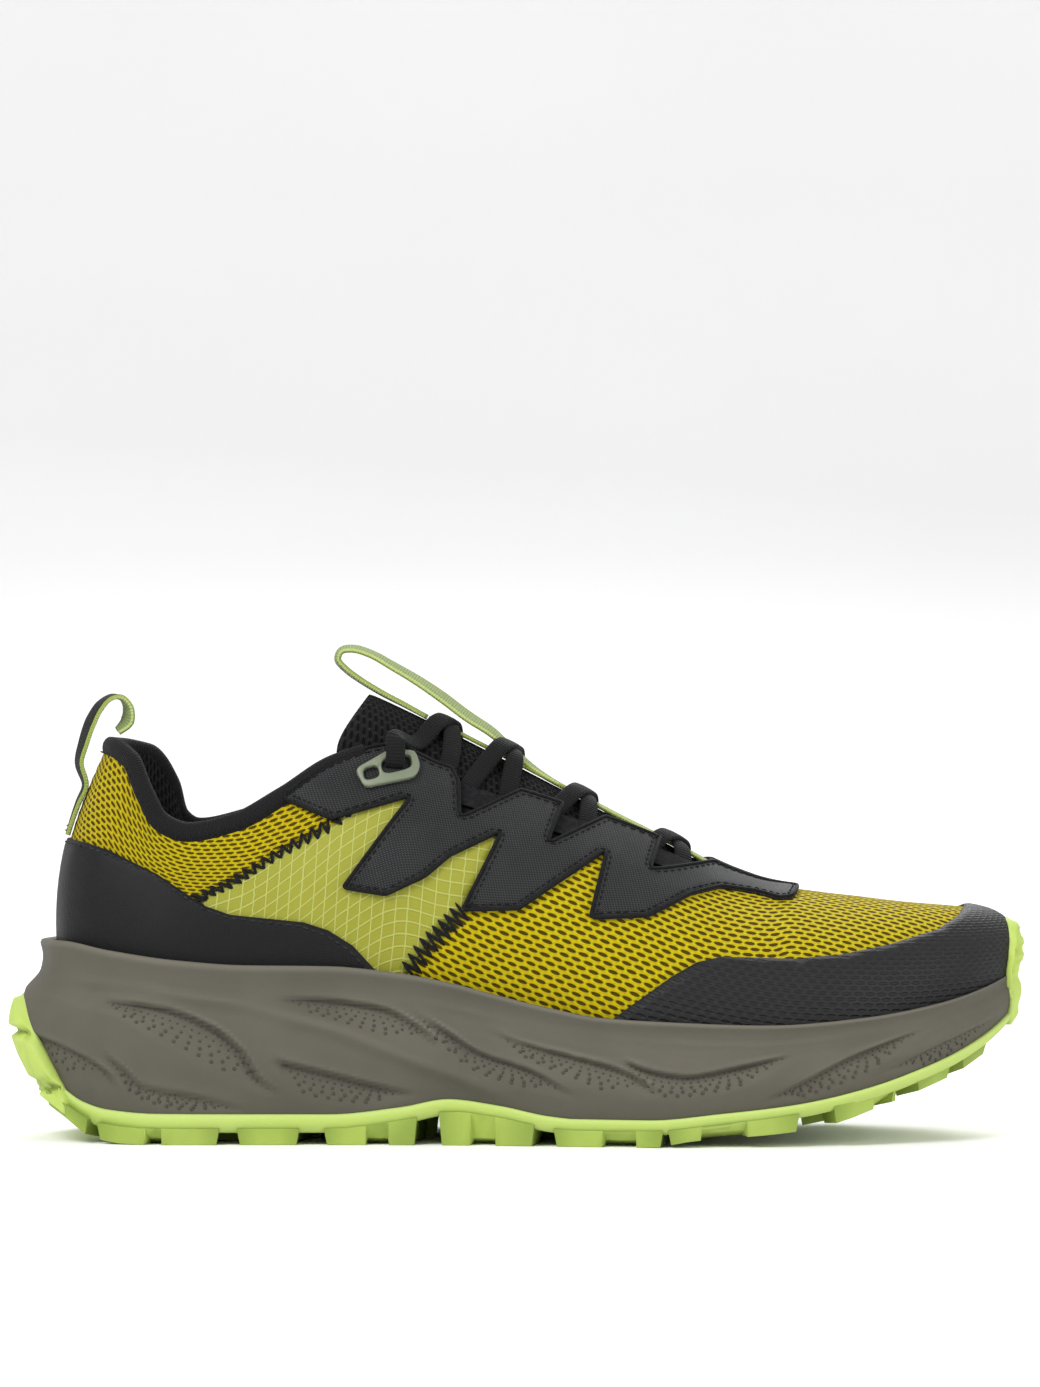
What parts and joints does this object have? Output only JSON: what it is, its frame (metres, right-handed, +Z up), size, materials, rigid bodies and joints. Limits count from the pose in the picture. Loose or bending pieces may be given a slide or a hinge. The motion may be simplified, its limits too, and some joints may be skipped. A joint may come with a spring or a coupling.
{
  "type": "running shoe",
  "caption": "Trail running shoe for the right foot: lugged rubber outsole, thick foam midsole, layered mesh upper, flat lace, and pull loops at the heel and the tongue.",
  "frame": {"origin": "on the ground under the middle of the shoe's bounding box", "axes": "+X to the toe, +Y to the inner (medial) side, +Z up"},
  "size_m": [0.3005, 0.112, 0.1437],
  "materials": {
    "foam": "matte moulded foam",
    "outsole_rubber": "matte neon rubber",
    "mesh_fabric": "knitted mesh",
    "ripstop_fabric": "ripstop weave",
    "overlay_film": "welded film",
    "eyestay_fabric": "coated weave",
    "eyelet_plastic": "moulded",
    "aglet_plastic": "moulded",
    "stiffener_board": "fibre board",
    "board_fabric": "non-woven",
    "sockliner_fabric": "knit over foam",
    "padding": "open foam",
    "binding_fabric": "stretch binding",
    "strap_webbing": "woven webbing",
    "loop_webbing": "woven webbing",
    "anchor_plastic": "moulded",
    "lace_webbing": "flat braid",
    "tongue_fabric": "spacer mesh",
    "lining_fabric": "brushed knit"
  },
  "bodies": {
    "shoe": {"midsole": "foam", "outsole": "outsole_rubber", "strobel_board": "board_fabric", "sockliner": "sockliner_fabric", "heel_mesh_lateral": "mesh_fabric", "heel_mesh_medial": "mesh_fabric", "quarter_panel_lateral": "ripstop_fabric", "quarter_panel_medial": "ripstop_fabric", "vamp_mesh": "mesh_fabric", "heel_cover": "overlay_film", "toe_cap": "overlay_film", "eyestay_lateral": "eyestay_fabric", "eyestay_medial": "eyestay_fabric", "eyestay_backer_lateral": "board_fabric", "eyestay_backer_medial": "board_fabric", "heel_counter": "stiffener_board", "toe_puff": "stiffener_board", "collar_foam": "padding", "collar_lining": "lining_fabric", "vamp_lining": "lining_fabric", "collar_binding": "binding_fabric", "tongue_base": "tongue_fabric", "tongue_padding": "padding", "pull_strap": "strap_webbing", "strap_bridge": "strap_webbing", "strap_anchor": "anchor_plastic", "heel_tab": "loop_webbing", "eyelet_plate_lateral": "eyelet_plastic", "eyelet_plate_medial": "eyelet_plastic", "shoelace": "lace_webbing", "aglet_lateral": "aglet_plastic", "aglet_medial": "aglet_plastic"},
    "tongue_flap": {"tongue_top": "tongue_fabric", "strap_loop": "strap_webbing"},
    "heel_pull": {"heel_loop": "loop_webbing"}
  },
  "joints": [
    {"name": "tongue_top_bend", "type": "hinge", "parent": "shoe", "child": "tongue_flap", "pos_m": [-0.0285, 0, 0.1215], "axis": [0, 1, 0], "range_deg": [-12, 12], "stiffness_Nm_per_rad": 0.05},
    {"name": "heel_loop_bend", "type": "hinge", "parent": "shoe", "child": "heel_pull", "pos_m": [-0.1275, 0, 0.1112], "axis": [0, 1, 0], "range_deg": [-35, 0], "stiffness_Nm_per_rad": 0.02}
  ]
}
